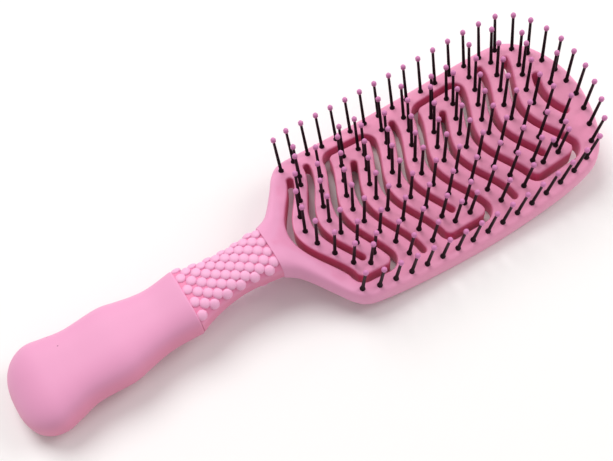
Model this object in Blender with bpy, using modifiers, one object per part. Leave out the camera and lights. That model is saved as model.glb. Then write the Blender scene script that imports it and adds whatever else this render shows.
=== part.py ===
# Vented grooming brush: a curved paddle head cut by one winding slot and six short ones,
# ball-ended pins on black strips inside it, a waisted neck sleeve and a soft handle grip.
# Metres, +Z up. +X runs from the handle to the head, +Y across; it lies on its back.

import math

import bmesh
import bpy
from mathutils import Matrix, Vector

# Driving sizes
LENGTH = 0.2425
HEAD_LENGTH = 0.1370
HEAD_HALF_WIDTH = 0.0363
NECK_LENGTH = 0.0345
GAP = 0.0003
OVERRUN = 0.002
EDGE_ANGLE = 40

HEAD_TIP = LENGTH / 2
HEAD_START = HEAD_TIP - HEAD_LENGTH
NECK_START = HEAD_START - NECK_LENGTH
HANDLE_END = -LENGTH / 2
HANDLE_LENGTH = NECK_START - HANDLE_END

COLLECTION = "grooming_brush"
CUTTERS = "cutters"

# Colours are linear red, green and blue
SOFT_PINK = (0.87, 0.40, 0.58)
FRAME_PINK = (0.76, 0.30, 0.47)
BLACK_NYLON = (0.012, 0.010, 0.012)


def start_scene():
    for item in list(bpy.data.objects):
        bpy.data.objects.remove(item, do_unlink=True)
    for name in (COLLECTION, CUTTERS):
        group = bpy.data.collections.new(name)
        bpy.context.scene.collection.children.link(group)


def material(name, colour, roughness):
    surface = bpy.data.materials.new(name)
    surface.use_nodes = True
    shader = surface.node_tree.nodes["Principled BSDF"]
    shader.inputs["Base Color"].default_value = (*colour, 1.0)
    shader.inputs["Roughness"].default_value = roughness
    shader.inputs["Metallic"].default_value = 0.0
    return surface


def add_object(name, shape, surface):
    piece = bpy.data.objects.new(name, shape)
    piece.data.materials.append(surface)
    bpy.data.collections[COLLECTION].objects.link(piece)
    return piece


def add_cutter(name, shape):
    cutter = bpy.data.objects.new(name, shape)
    cutter.hide_render = True
    cutter.display_type = "WIRE"
    bpy.data.collections[CUTTERS].objects.link(cutter)
    return cutter


def combine(piece, operation, other):
    # Cutters joined in one mesh may touch each other, which use_self allows
    step = piece.modifiers.new(f"{operation.lower()} {other.name}", "BOOLEAN")
    step.operation = operation
    step.object = other
    step.use_self = True


def smooth_line(points, steps):
    # A curve through the points, with a few places between each two of them
    line = []
    for i in range(len(points) - 1):
        before = points[max(i - 1, 0)]
        after = points[min(i + 2, len(points) - 1)]
        for step in range(steps):
            t = step / steps
            place = []
            for a, b, c, d in zip(before, points[i], points[i + 1], after):
                slope_b = (c - a) / 2
                slope_c = (d - b) / 2
                cubic = 2 * b - 2 * c + slope_b + slope_c
                square = -3 * b + 3 * c - 2 * slope_b - slope_c
                place.append(((cubic * t + square) * t + slope_b) * t + b)
            line.append(tuple(place))
    line.append(tuple(points[-1]))
    return line


def read_line(line, x, column):
    # The value in a column at x, along a line whose first column climbs
    if x <= line[0][0]:
        return line[0][column]
    for low, high in zip(line, line[1:]):
        if x <= high[0]:
            share = (x - low[0]) / (high[0] - low[0])
            return low[column] + share * (high[column] - low[column])
    return line[-1][column]


def loft(name, rings):
    # A closed solid through rings that all have the same number of points
    shape = bmesh.new()
    rows = [[shape.verts.new(point) for point in ring] for ring in rings]
    count = len(rows[0])
    for row, following in zip(rows, rows[1:]):
        for i in range(count):
            j = (i + 1) % count
            shape.faces.new((row[i], row[j], following[j], following[i]))
    shape.faces.new(rows[0])
    shape.faces.new(rows[-1])
    bmesh.ops.recalc_face_normals(shape, faces=shape.faces)
    mesh = bpy.data.meshes.new(name)
    shape.to_mesh(mesh)
    shape.free()
    return mesh


def join_meshes(name, meshes):
    # Meshes that stay apart, kept in one mesh so that one cut makes them all
    shape = bmesh.new()
    for mesh in meshes:
        shape.from_mesh(mesh)
        bpy.data.meshes.remove(mesh)
    joined = bpy.data.meshes.new(name)
    shape.to_mesh(joined)
    shape.free()
    return joined


def smooth_shade(mesh, degrees):
    mesh.shade_smooth()
    mesh.set_sharp_from_angle(angle=math.radians(degrees))


# Handle and neck: profiles along X, and walls over the core
HANDLE_HALF_WIDTH = 0.0177
HANDLE_HALF_HEIGHT = 0.0107
HANDLE_ROUND = 0.0125
NECK_HALF_WIDTH = 0.0113
NECK_HALF_HEIGHT = 0.0079
AXIS_LOW = 0.0103
AXIS_OVER_PARTING = 0.00016
GRIP_WALL = 0.0030
NECK_WALL = 0.0022
END_WALL = 0.0085
TANG = 0.0052
RING_POINTS = 16
ROUND_STEPS = 4

# Share of the handle's length, then shares of its half width and half height
HANDLE_SHARES = (
    (0.000, 1.00, 1.00), (0.170, 1.00, 1.00), (0.272, 0.91, 0.97), (0.385, 0.82, 0.92),
    (0.573, 0.85, 0.94), (0.667, 0.78, 0.89), (0.760, 0.70, 0.84), (0.854, 0.67, 0.82),
    (1.000, 0.72, 0.86),
)
NECK_SHARES = (
    (0.000, 1.00, 1.00), (0.100, 0.93, 0.97), (0.300, 0.83, 0.91), (0.500, 0.775, 0.87),
    (0.680, 0.78, 0.85), (0.820, 0.84, 0.85), (1.000, 0.91, 0.85),
)
# Share of the way from the handle's end to the head, share of the rise
AXIS_SHARES = (
    (0.00, 0.00), (0.17, 0.00), (0.26, 0.13), (0.38, 0.25), (0.51, 0.31), (0.58, 0.38),
    (0.67, 0.60), (0.77, 0.82), (0.86, 0.96), (1.00, 0.95),
)


# Head form: plan, side view and section
ARC_RADIUS = 0.228
ARC_LOW_FROM_TIP = 0.0690
FACE_LOW = 0.0100
FRONT_HEIGHT = 0.0070
BACK_HEIGHT = 0.0034
FAN_RADIUS = 0.204
TIP_ROLL = 0.0045
TIP_POWER = 3.0
EDGE_POWER = 6.0
THROAT_LENGTH = 0.0155
THROAT_LIFT = 0.0025
THROAT_RISE = 0.0004
THROAT_DROP = 0.0040
THROAT_LIP = 0.0007
ROUND_POWER = 2.4
OUTLINE_STEPS = 2

# Half the head's plan: share of its length, share of its half width
OUTLINE_SHARES = (
    (0.039, 0.378), (0.088, 0.618), (0.125, 0.820), (0.162, 0.922),
    (0.230, 0.957), (0.358, 0.983), (0.554, 1.000), (0.750, 0.982), (0.863, 0.937),
    (0.921, 0.855), (0.961, 0.664), (0.985, 0.424), (0.998, 0.180),
)
# Places across half a section, as shares of its half width
FACE_SHARES = (0.0, 0.45, 0.78, 0.92, 0.985, 1.0)
BACK_SHARES = (0.0, 0.50, 0.80, 0.94, 1.0)


def neck_size(x):
    share = (x - NECK_START) / NECK_LENGTH
    line = smooth_line(NECK_SHARES, 2)
    return (NECK_HALF_WIDTH * read_line(line, share, 1),
            NECK_HALF_HEIGHT * read_line(line, share, 2))


def head_outline():
    throat_share = (neck_size(HEAD_START)[0] + THROAT_LIP) / HEAD_HALF_WIDTH
    line = smooth_line(((0.0, throat_share),) + OUTLINE_SHARES, OUTLINE_STEPS)
    return [(HEAD_START + along * HEAD_LENGTH, wide * HEAD_HALF_WIDTH) for along, wide in line]


def throat(x):
    # 1 where the head meets the neck, easing to 0 where the flat head begins
    share = min(max((x - HEAD_START) / THROAT_LENGTH, 0.0), 1.0)
    return 1.0 - share * share * (3.0 - 2.0 * share)


def parting_height(x):
    arc = (x - HEAD_TIP + ARC_LOW_FROM_TIP) ** 2 / (2 * ARC_RADIUS)
    return FACE_LOW + arc - FRONT_HEIGHT + THROAT_LIFT * throat(x)


def section_roll(x, share):
    power = EDGE_POWER + (ROUND_POWER - EDGE_POWER) * throat(x)
    return (1.0 - min(share, 1.0) ** power) ** (1.0 / power)


def tip_roll(x):
    share = max((x - HEAD_TIP + TIP_ROLL) / TIP_ROLL, 0.0)
    return (1.0 - share ** TIP_POWER) ** (1.0 / TIP_POWER)


def face_height(x, y):
    share = abs(y) / read_line(OUTLINE, x, 1)
    crown = y * y / (2 * FAN_RADIUS)
    height = (FRONT_HEIGHT + THROAT_RISE * throat(x)) * tip_roll(x) - crown
    return parting_height(x) + height * section_roll(x, share)


def back_height(x, y):
    share = abs(y) / read_line(OUTLINE, x, 1)
    depth = (BACK_HEIGHT + THROAT_DROP * throat(x)) * tip_roll(x)
    return max(parting_height(x) - depth * section_roll(x, share), GAP / 2)


OUTLINE = head_outline()
# The neck's middle line climbs from the handle's height to the head's parting
AXIS_RISE = parting_height(HEAD_START) + AXIS_OVER_PARTING - AXIS_LOW


def half_head(name, shares, height, gap):
    # One half of the head, from its flat parting out to its face or its back
    across = [-share for share in reversed(shares)] + list(shares[1:])
    rings = []
    for x, width in OUTLINE:
        ring = [Vector((x, share * width, height(x, share * width) + gap)) for share in across]
        rings.append(ring)
    return loft(name, rings)


# Slots: even ones are joined into one winding slot, odd ones are short and stand alone
SLOT_COUNT = 12
SLOT_WIDTH = 0.0030
SLOT_TIP_DISTANCE = 0.0130
SLOT_NECK_DISTANCE = 0.01015
SLOT_PITCH = (HEAD_LENGTH - SLOT_TIP_DISTANCE - SLOT_NECK_DISTANCE) / (SLOT_COUNT - 1)
SLOT_BOW = 0.0087
FIRST_BOW_EXTRA = 0.0020
SLOT_CORNER = 0.0040
SLOT_STEPS = 6
CORNER_STEPS = 3

# The runs keep a land to the head's edge, and each other slot end stops short of them
RUN_LAND = 0.0085
SLOT_REACH = HEAD_HALF_WIDTH - RUN_LAND
FIRST_RUN_INSET = 0.0013
LAST_RUN_INSET = 0.0018
CLOSED_INSET = 0.0094
OPEN_INSET = 0.0013
FREE_END_INSET = 0.0042
LAST_SLOT_INSET = 0.0182
LAST_SLOT_REACH = SLOT_REACH - LAST_SLOT_INSET


def slot_x(slot, y):
    # A slot bows towards the handle at the middle and runs straight at its ends
    first = HEAD_TIP - SLOT_TIP_DISTANCE - (SLOT_COUNT - 1) * SLOT_PITCH
    bow = SLOT_BOW + FIRST_BOW_EXTRA * max(2 - slot, 0)
    reach = min(abs(y) / SLOT_REACH, 1.0)
    return first + slot * SLOT_PITCH + bow / 2 * (1.0 - math.cos(math.pi * reach))


def slot_line(slot, start, end):
    line = []
    for step in range(SLOT_STEPS + 1):
        y = start + (end - start) * step / SLOT_STEPS
        line.append((slot_x(slot, y), y))
    return line


def corner(x, y, turn, side):
    # A quarter round from a slot's end into the run beside the rim, or back
    points = []
    for step in range(1, CORNER_STEPS):
        angle = math.pi / 2 * step / CORNER_STEPS
        across = SLOT_CORNER * (1.0 - math.cos(angle))
        along = SLOT_CORNER * math.sin(angle)
        points.append((x + turn * across, y + side * along))
    points.append((x + turn * SLOT_CORNER, y + side * SLOT_CORNER))
    return points


def winding_line():
    # Even slots joined end to end by runs beside the rim, by turns near and far
    last = SLOT_COUNT - 2
    middle = [SLOT_REACH] * (last // 2 - 2)
    reaches = [SLOT_REACH - FIRST_RUN_INSET] + middle + [SLOT_REACH - LAST_RUN_INSET]
    side = -1
    line = []
    for slot in range(0, last + 1, 2):
        if slot == 0:
            start = -side * (SLOT_REACH - FREE_END_INSET)
        else:
            start = -side * (reaches[slot // 2 - 1] - SLOT_CORNER)
            line += reversed(corner(slot_x(slot, start), start, -1, -side))
        if slot == last:
            line += slot_line(slot, start, side * (SLOT_REACH - FREE_END_INSET))
        else:
            end = side * (reaches[slot // 2] - SLOT_CORNER)
            line += slot_line(slot, start, end)
            line += corner(slot_x(slot, end), end, 1, side)
        side = -side
    return line


def short_lines():
    lines = []
    for slot in range(1, SLOT_COUNT - 2, 2):
        closed_side = -1 if slot % 4 == 1 else 1
        start = closed_side * (SLOT_REACH - CLOSED_INSET)
        end = -closed_side * (SLOT_REACH - OPEN_INSET)
        lines.append(slot_line(slot, start, end))
    lines.append(slot_line(SLOT_COUNT - 1, -LAST_SLOT_REACH, LAST_SLOT_REACH))
    return lines


def normal_at(line, i):
    before = Vector(line[max(i - 1, 0)])
    after = Vector(line[min(i + 1, len(line) - 1)])
    along = (after - before).normalized()
    return Vector((-along.y, along.x))


def band_outline(line, width):
    # The outline of a band along a line, with a half round at each end
    half = width / 2
    left = [Vector(point) + normal_at(line, i) * half for i, point in enumerate(line)]
    right = [Vector(point) - normal_at(line, i) * half for i, point in enumerate(line)]
    caps = []
    for i in (len(line) - 1, 0):
        side = normal_at(line, i) * half
        forward = Vector((side.y, -side.x))
        if i == 0:
            side = -side
            forward = -forward
        cap = []
        for step in range(1, CORNER_STEPS + 1):
            angle = math.pi * step / (CORNER_STEPS + 1)
            cap.append(Vector(line[i]) + side * math.cos(angle) + forward * math.sin(angle))
        caps.append(cap)
    return left + caps[0] + list(reversed(right)) + caps[1]


def prism(name, outline, low, high):
    # A flat outline, filled and given its height
    curve = bpy.data.curves.new(name, "CURVE")
    curve.dimensions = "2D"
    curve.fill_mode = "BOTH"
    curve.extrude = (high - low) / 2
    spline = curve.splines.new("POLY")
    spline.points.add(len(outline) - 1)
    for point, place in zip(spline.points, outline):
        point.co = (place[0], place[1], 0.0, 1.0)
    spline.use_cyclic_u = True
    holder = bpy.data.objects.new(name, curve)
    bpy.data.collections[CUTTERS].objects.link(holder)
    bpy.context.view_layer.update()
    ready = holder.evaluated_get(bpy.context.evaluated_depsgraph_get())
    mesh = bpy.data.meshes.new_from_object(ready)
    mesh.transform(Matrix.Translation((0.0, 0.0, (low + high) / 2)))
    bpy.data.objects.remove(holder, do_unlink=True)
    bpy.data.curves.remove(curve)
    shape = bmesh.new()
    shape.from_mesh(mesh)
    bmesh.ops.remove_doubles(shape, verts=shape.verts, dist=GAP / 10)
    bmesh.ops.recalc_face_normals(shape, faces=shape.faces)
    shape.to_mesh(mesh)
    shape.free()
    return mesh


def slot_cutter():
    high = max(face_height(x, 0.0) for x, _ in OUTLINE) + OVERRUN
    outlines = [band_outline(line, SLOT_WIDTH) for line in [winding_line()] + short_lines()]
    bands = [prism("slot", outline, -OVERRUN, high) for outline in outlines]
    return add_cutter("slots", join_meshes("slots", bands))


# Pins: rows along the ribs between slots, and one row along the rim
ROW_PITCH = 0.0064
ROW_INSET = 0.0022
ROW_SHIFT = 0.0003
LAST_ROW = round((SLOT_REACH - ROW_INSET) / ROW_PITCH)
ROWS = range(-LAST_ROW, LAST_ROW + 1)
RIM_PITCH = 0.0067
RIM_INSET = 0.0035
RIM_NECK_DISTANCE = 0.0200
RIM_TIP_PINS = 4
RIM_STEPS = 16

# The last pin of a row at a tongue's end, how far in it stands, and its pull sideways
END_INSET = 0.0047
END_PULL = 0.0018
FIRST_END_INSET = 0.0059
FIRST_END_PULL = 0.0045
FIRST_TOP_INSET = 0.0044
LAST_END_INSET = 0.0061
LAST_TOP_OVER_SLOT = 0.0080
LAST_TOP_PULL = 0.0006
LAST_PIN_DISTANCE = 0.0043

# One pin: its root in the strip, collar, tapered shaft and ball end
PIN_SIDES = 4
PIN_LENGTH = 0.0192
PIN_ROOT = 0.0005
COLLAR_RADIUS = 0.0012
COLLAR_HEIGHT = 0.0008
SHAFT_RADIUS = 0.00065
SHAFT_TIP_RADIUS = 0.00050
BALL_RADIUS = 0.0011

# Strips under the face, and the wall of face over them
FACE_WALL = 0.0014
STRIP_EDGE = 0.0003
STRIP_HALF_WIDTH = COLLAR_RADIUS + STRIP_EDGE
STRIP_PLAY = 0.0003


def rib_x(rib, y):
    return (slot_x(rib, y) + slot_x(rib + 1, y)) / 2


def rib_pins(rib):
    # Each pair of ribs is one tongue, free at the end where the winding slot turns
    free_side = -1 if rib % 4 < 2 else 1
    pull = END_PULL if rib % 2 == 0 else -END_PULL
    inset = LAST_END_INSET if rib >= SLOT_COUNT - 4 else END_INSET
    end = free_side * (SLOT_REACH - inset)
    rows = [row * ROW_PITCH + ROW_SHIFT for row in ROWS[1:-1]]
    rows.append(-free_side * LAST_ROW * ROW_PITCH + ROW_SHIFT)
    places = [(rib_x(rib, y), y) for y in rows]
    places.append((rib_x(rib, end) + pull, end))
    places.sort(key=lambda place: place[1])
    return places


def first_rib_pins():
    # The first two ribs lie where the head narrows, and hold one pin less
    rows = [row * ROW_PITCH + ROW_SHIFT for row in ROWS[1:-1]]
    top = SLOT_REACH - FIRST_TOP_INSET
    low = FIRST_END_INSET - SLOT_REACH
    first = [(rib_x(0, y), y) for y in rows + [top]]
    second = [(rib_x(1, low) - FIRST_END_PULL, low)] + [(rib_x(1, y), y) for y in rows]
    return first, second


def last_rib_pins():
    rib = SLOT_COUNT - 2
    rows = [row * ROW_PITCH + ROW_SHIFT for row in ROWS if abs(row) < LAST_ROW - 1]
    last = [(rib_x(rib, y), y) for y in rows]
    top = LAST_SLOT_REACH + LAST_TOP_OVER_SLOT
    last.append((rib_x(rib, top) - LAST_TOP_PULL, top))
    single = ROW_PITCH / 2
    return last, [(slot_x(rib + 1, single) + LAST_PIN_DISTANCE, single)]


def rim_pins():
    # Walk the rim's inset line from the tip, and set a pin at each pitch
    fine = smooth_line(OUTLINE, RIM_STEPS)
    line = [Vector(fine[i]) - normal_at(fine, i) * RIM_INSET for i in range(len(fine))]
    line = [place for place in reversed(line) if place.x > HEAD_START + RIM_NECK_DISTANCE]
    line.insert(0, Vector((line[0].x, 0.0)))
    places = [(line[0].x, 0.0)]
    passed = 0.0
    for here, there in zip(line, line[1:]):
        run = (there - here).length
        while passed + run >= RIM_PITCH * len(places):
            spot = here.lerp(there, (RIM_PITCH * len(places) - passed) / run)
            places.append((spot.x, spot.y))
        passed += run
    return places


def turned(name, profile):
    # A profile of radius and height, turned about Z
    mesh = bpy.data.meshes.new(name)
    points = [(radius, 0.0, height) for radius, height in profile]
    edges = [(i, i + 1) for i in range(len(points) - 1)]
    mesh.from_pydata(points, edges, [])
    holder = bpy.data.objects.new(name, mesh)
    bpy.data.collections[CUTTERS].objects.link(holder)
    screw = holder.modifiers.new("turn", "SCREW")
    screw.steps = PIN_SIDES
    screw.render_steps = PIN_SIDES
    screw.use_merge_vertices = True
    screw.merge_threshold = GAP / 10
    bpy.context.view_layer.update()
    ready = holder.evaluated_get(bpy.context.evaluated_depsgraph_get())
    solid = bpy.data.meshes.new_from_object(ready)
    bpy.data.objects.remove(holder, do_unlink=True)
    bpy.data.meshes.remove(mesh)
    shape = bmesh.new()
    shape.from_mesh(solid)
    bmesh.ops.remove_doubles(shape, verts=shape.verts, dist=GAP / 10)
    bmesh.ops.recalc_face_normals(shape, faces=shape.faces)
    shape.to_mesh(solid)
    shape.free()
    return solid


def stand_at(mesh, place):
    # Stand a turned shape on the face, leaning outwards as the crown does
    x, y = place
    lean = Matrix.Rotation(-math.atan(y / FAN_RADIUS), 4, "X")
    spot = Matrix.Translation((x, y, face_height(x, y)))
    copy = mesh.copy()
    copy.transform(spot @ lean)
    return copy


def pin_shape():
    root = -(FACE_WALL + GAP + PIN_ROOT)
    profile = (
        (0.0, PIN_LENGTH + BALL_RADIUS),
        (BALL_RADIUS, PIN_LENGTH),
        (SHAFT_TIP_RADIUS, PIN_LENGTH - BALL_RADIUS),
        (SHAFT_RADIUS, COLLAR_HEIGHT),
        (COLLAR_RADIUS, COLLAR_HEIGHT),
        (COLLAR_RADIUS, root),
        (0.0, root),
    )
    return turned("pin", profile)


def hole_shape():
    radius = COLLAR_RADIUS + GAP * math.sqrt(2)
    low = -(FACE_WALL + OVERRUN)
    high = COLLAR_HEIGHT + OVERRUN
    return turned("hole", ((0.0, high), (radius, high), (radius, low), (0.0, low)))


def extend(places, overhang):
    # Lengthen a line of places at both of its ends
    line = [Vector(place) for place in places]
    first = line[0] + (line[0] - line[1]).normalized() * overhang
    last = line[-1] + (line[-1] - line[-2]).normalized() * overhang
    return [first] + line[1:-1] + [last]


def strip_solid(name, line, half, low, high):
    # A bar of a given half width whose top and bottom follow two surfaces
    rings = []
    for i, place in enumerate(line):
        side = normal_at(line, i)
        near = place - side * half
        far = place + side * half
        rings.append((
            Vector((near.x, near.y, low(near.x))),
            Vector((far.x, far.y, low(far.x))),
            Vector((far.x, far.y, high(far.x, far.y))),
            Vector((near.x, near.y, high(near.x, near.y))),
        ))
    return loft(name, rings)


def thinned(line):
    # The same line with fewer points, none left out that lies off it by much
    first = line[0]
    last = line[-1]
    side = (last - first).orthogonal().normalized()
    offsets = [abs((point - first).dot(side)) for point in line]
    widest = offsets.index(max(offsets))
    if offsets[widest] < STRIP_PLAY:
        return [first, last]
    return thinned(line[:widest + 1])[:-1] + thinned(line[widest:])


def strip_line(places):
    if len(places) == 1:
        x, y = places[0]
        return [Vector((x, y - STRIP_HALF_WIDTH)), Vector((x, y + STRIP_HALF_WIDTH))]
    return thinned(extend(places, STRIP_HALF_WIDTH))


def strip_and_channel(name, places, surface):
    line = strip_line(places)
    strip = strip_solid(
        name, line, STRIP_HALF_WIDTH,
        lambda x: parting_height(x) + GAP / 2,
        lambda x, y: face_height(x, y) - FACE_WALL - GAP,
    )
    channel = strip_solid(
        f"{name}_channel", extend(line, GAP), STRIP_HALF_WIDTH + GAP,
        lambda x: parting_height(x) - OVERRUN,
        lambda x, y: face_height(x, y) - FACE_WALL,
    )
    pin = pin_shape()
    pins = join_meshes(f"{name}_pins", [stand_at(pin, place) for place in places])
    bpy.data.meshes.remove(pin)
    piece = add_object(name, strip, surface)
    combine(piece, "UNION", add_cutter(f"{name}_pins", pins))
    return channel


def pin_layout():
    first, second = first_rib_pins()
    last, single = last_rib_pins()
    middle = [rib_pins(rib) for rib in range(2, SLOT_COUNT - 2)]
    rows = [first, second] + middle + [last, single]
    layout = [(f"pin_strip_{rib:02d}", places) for rib, places in enumerate(rows)]
    rim = rim_pins()
    side = rim[RIM_TIP_PINS + 1:]
    tip = rim[:RIM_TIP_PINS + 1]
    layout.append(("rim_strip_far", side))
    layout.append(("rim_strip_near", [(x, -y) for x, y in side]))
    layout.append(("rim_strip_tip", [(x, -y) for x, y in reversed(tip[1:])] + tip))
    return layout


def axis_height(x):
    share = (x - HANDLE_END) / (HEAD_START - HANDLE_END)
    return AXIS_LOW + AXIS_RISE * read_line(smooth_line(AXIS_SHARES, 2), share, 1)


def handle_size(x):
    share = (x - HANDLE_END) / HANDLE_LENGTH
    line = smooth_line(HANDLE_SHARES, 2)
    return (HANDLE_HALF_WIDTH * read_line(line, share, 1),
            HANDLE_HALF_HEIGHT * read_line(line, share, 2))


def oval(x, half_width, half_height, floor):
    ring = []
    for i in range(RING_POINTS):
        angle = 2 * math.pi * (i + 0.5) / RING_POINTS
        across = math.copysign(abs(math.cos(angle)) ** (2 / ROUND_POWER), math.cos(angle))
        upward = math.copysign(abs(math.sin(angle)) ** (2 / ROUND_POWER), math.sin(angle))
        height = axis_height(x) + half_height * upward
        ring.append(Vector((x, half_width * across, max(height, floor))))
    return ring


def end_round(x):
    share = max(1.0 - (x - HANDLE_END) / HANDLE_ROUND, 0.0)
    return (1.0 - share ** ROUND_POWER) ** (1.0 / ROUND_POWER)


def handle_places():
    # Close together round the end, then at the profile's own places
    places = []
    for step in range(ROUND_STEPS):
        angle = math.pi / 2 * (step + 0.5) / ROUND_STEPS
        places.append(HANDLE_END + HANDLE_ROUND * (1.0 - math.cos(angle)))
    first = HANDLE_END + HANDLE_ROUND
    profile = [HANDLE_END + share * HANDLE_LENGTH for share, _, _ in HANDLE_SHARES]
    return places + [x for x in [first] + profile if x >= first]


def neck_places():
    return [NECK_START + share * NECK_LENGTH for share, _, _ in NECK_SHARES]


def core_mesh(name, grow):
    start = HANDLE_END + END_WALL
    places = [x for x in handle_places() if start < x < NECK_START] + neck_places()
    rings = []
    for x in [start - grow] + places + [HEAD_START + TANG + grow]:
        if x < NECK_START:
            width, height = handle_size(x)
            wall = GRIP_WALL - grow
        else:
            width, height = neck_size(x)
            wall = NECK_WALL - grow
        width = width * end_round(x) - wall
        height = height * end_round(x) - wall
        rings.append(oval(x, width, height, 0.0))
    return loft(name, rings)


def grip_mesh():
    rings = []
    for x in handle_places():
        place = x - GAP if x == handle_places()[-1] else x
        width, height = handle_size(place)
        rings.append(oval(place, width * end_round(place), height * end_round(place), 0.0))
    return loft("handle_grip", rings)


def neck_mesh():
    places = neck_places()
    places[0] += GAP
    places[-1] -= GAP
    return loft("neck_grip", [oval(x, *neck_size(x), 0.0) for x in places])


def build():
    start_scene()
    soft = material("soft_pink", SOFT_PINK, 0.55)
    hard = material("frame_pink", FRAME_PINK, 0.45)
    black = material("black_nylon", BLACK_NYLON, 0.35)

    slots = slot_cutter()
    core_room = add_cutter("core_room", core_mesh("core_room", GAP))

    layout = pin_layout()
    channels = [strip_and_channel(name, places, black) for name, places in layout]
    channel_cutter = add_cutter("channels", join_meshes("channels", channels))
    hole = hole_shape()
    holes = [stand_at(hole, place) for _, places in layout for place in places]
    hole_cutter = add_cutter("pin_holes", join_meshes("pin_holes", holes))

    face = half_head("front_shell", FACE_SHARES, face_height, GAP / 2)
    smooth_shade(face, EDGE_ANGLE)
    front = add_object("front_shell", face, soft)
    combine(front, "DIFFERENCE", slots)
    combine(front, "DIFFERENCE", core_room)
    combine(front, "DIFFERENCE", channel_cutter)
    combine(front, "DIFFERENCE", hole_cutter)

    back = half_head("frame", BACK_SHARES, back_height, -GAP / 2)
    smooth_shade(back, EDGE_ANGLE)
    frame = add_object("frame", back, hard)
    combine(frame, "UNION", add_cutter("core_bar", core_mesh("core_bar", 0.0)))
    combine(frame, "DIFFERENCE", slots)

    for name, mesh in (("handle_grip", grip_mesh()), ("neck_grip", neck_mesh())):
        smooth_shade(mesh, EDGE_ANGLE)
        sleeve = add_object(name, mesh, soft)
        combine(sleeve, "DIFFERENCE", core_room)


build()
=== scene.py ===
# Looks of the vented grooming brush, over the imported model: handle, neck sleeve, head and pins.
# Metres, in the model's own frame: +X from the handle to the head, +Z up out of the pin side.
import math

import bmesh
import bpy
from mathutils import Matrix, Vector, kdtree
from mathutils.geometry import delaunay_2d_cdt


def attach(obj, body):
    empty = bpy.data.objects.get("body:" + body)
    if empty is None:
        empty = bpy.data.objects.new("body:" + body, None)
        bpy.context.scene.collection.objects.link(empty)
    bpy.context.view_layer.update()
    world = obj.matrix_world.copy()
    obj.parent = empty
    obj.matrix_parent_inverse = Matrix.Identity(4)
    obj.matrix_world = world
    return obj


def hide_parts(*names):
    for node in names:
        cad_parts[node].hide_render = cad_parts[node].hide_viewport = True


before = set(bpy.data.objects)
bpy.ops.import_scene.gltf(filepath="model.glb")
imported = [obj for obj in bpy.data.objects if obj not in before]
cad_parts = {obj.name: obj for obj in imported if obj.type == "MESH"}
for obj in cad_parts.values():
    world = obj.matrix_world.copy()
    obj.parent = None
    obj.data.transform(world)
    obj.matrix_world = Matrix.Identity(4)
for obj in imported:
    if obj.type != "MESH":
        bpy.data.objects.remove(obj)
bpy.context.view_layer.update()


# Camera: its turn about Z, its tilt and its roll, in radians, were fitted to the pins in the
# photograph. The focal length is in pixels of the photograph, which is 613 wide.
TURN = 0.417644822
TILT = 1.10070748
ROLL = -0.138
FOCAL_PIXELS = 1069.867
PHOTO_WIDTH = 613
SENSOR = 36.0
TARGET = Vector((0.00040, 0.00092, 0.01488))
DISTANCE = 0.39726


def make_camera():
    data = bpy.data.cameras.new("camera")
    data.sensor_width = SENSOR
    data.lens = FOCAL_PIXELS / PHOTO_WIDTH * SENSOR
    right = Vector((math.cos(TURN), -math.sin(TURN), 0.0))
    level = Vector((math.sin(TURN), math.cos(TURN), 0.0))
    up = Vector((0.0, 0.0, 1.0))
    ahead = level * math.cos(TILT) - up * math.sin(TILT)
    above = level * math.sin(TILT) + up * math.cos(TILT)
    side = right * math.cos(ROLL) + above * math.sin(ROLL)
    top = above * math.cos(ROLL) - right * math.sin(ROLL)
    camera = bpy.data.objects.new("camera", data)
    turn = Matrix((side, top, -ahead)).transposed().to_4x4()
    camera.matrix_world = Matrix.Translation(TARGET - ahead * DISTANCE) @ turn
    bpy.context.scene.collection.objects.link(camera)
    bpy.context.scene.camera = camera


make_camera()


# Floor and light: a plain pale floor, a large soft key from behind the brush, a weak fill
# from its head's end and a pale, slightly warm sky.
FLOOR_SIZE = 6.0
FLOOR_COLOUR = (0.90, 0.89, 0.88)
FLOOR_ROUGHNESS = 0.9
KEY_PLACE = (-0.05, 1.15, 1.75)
KEY_SIZE = 1.30
KEY_POWER = 27.5
FILL_PLACE = (1.60, -0.20, 1.20)
FILL_SIZE = 1.2
FILL_POWER = 14.0
SKY_COLOUR = (1.0, 0.955, 0.95)
SKY_STRENGTH = 0.50


def add_light(name, place, size, power):
    data = bpy.data.lights.new(name, "AREA")
    data.shape = "DISK"
    data.size = size
    data.energy = power
    light = bpy.data.objects.new(name, data)
    light.location = place
    light.rotation_euler = (-Vector(place)).to_track_quat("-Z", "Y").to_euler()
    bpy.context.scene.collection.objects.link(light)


def make_stage():
    bpy.ops.mesh.primitive_plane_add(size=FLOOR_SIZE)
    floor = bpy.context.object
    floor.name = "floor"
    surface = bpy.data.materials.new("floor_paper")
    surface.use_nodes = True
    shader = surface.node_tree.nodes["Principled BSDF"]
    shader.inputs["Base Color"].default_value = (*FLOOR_COLOUR, 1.0)
    shader.inputs["Roughness"].default_value = FLOOR_ROUGHNESS
    floor.data.materials.append(surface)
    add_light("key", KEY_PLACE, KEY_SIZE, KEY_POWER)
    add_light("fill", FILL_PLACE, FILL_SIZE, FILL_POWER)
    world = bpy.data.worlds.new("sky")
    world.use_nodes = True
    sky = world.node_tree.nodes["Background"]
    sky.inputs["Color"].default_value = (*SKY_COLOUR, 1.0)
    sky.inputs["Strength"].default_value = SKY_STRENGTH
    bpy.context.scene.world = world
    bpy.context.scene.view_settings.view_transform = "Standard"


make_stage()


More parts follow.
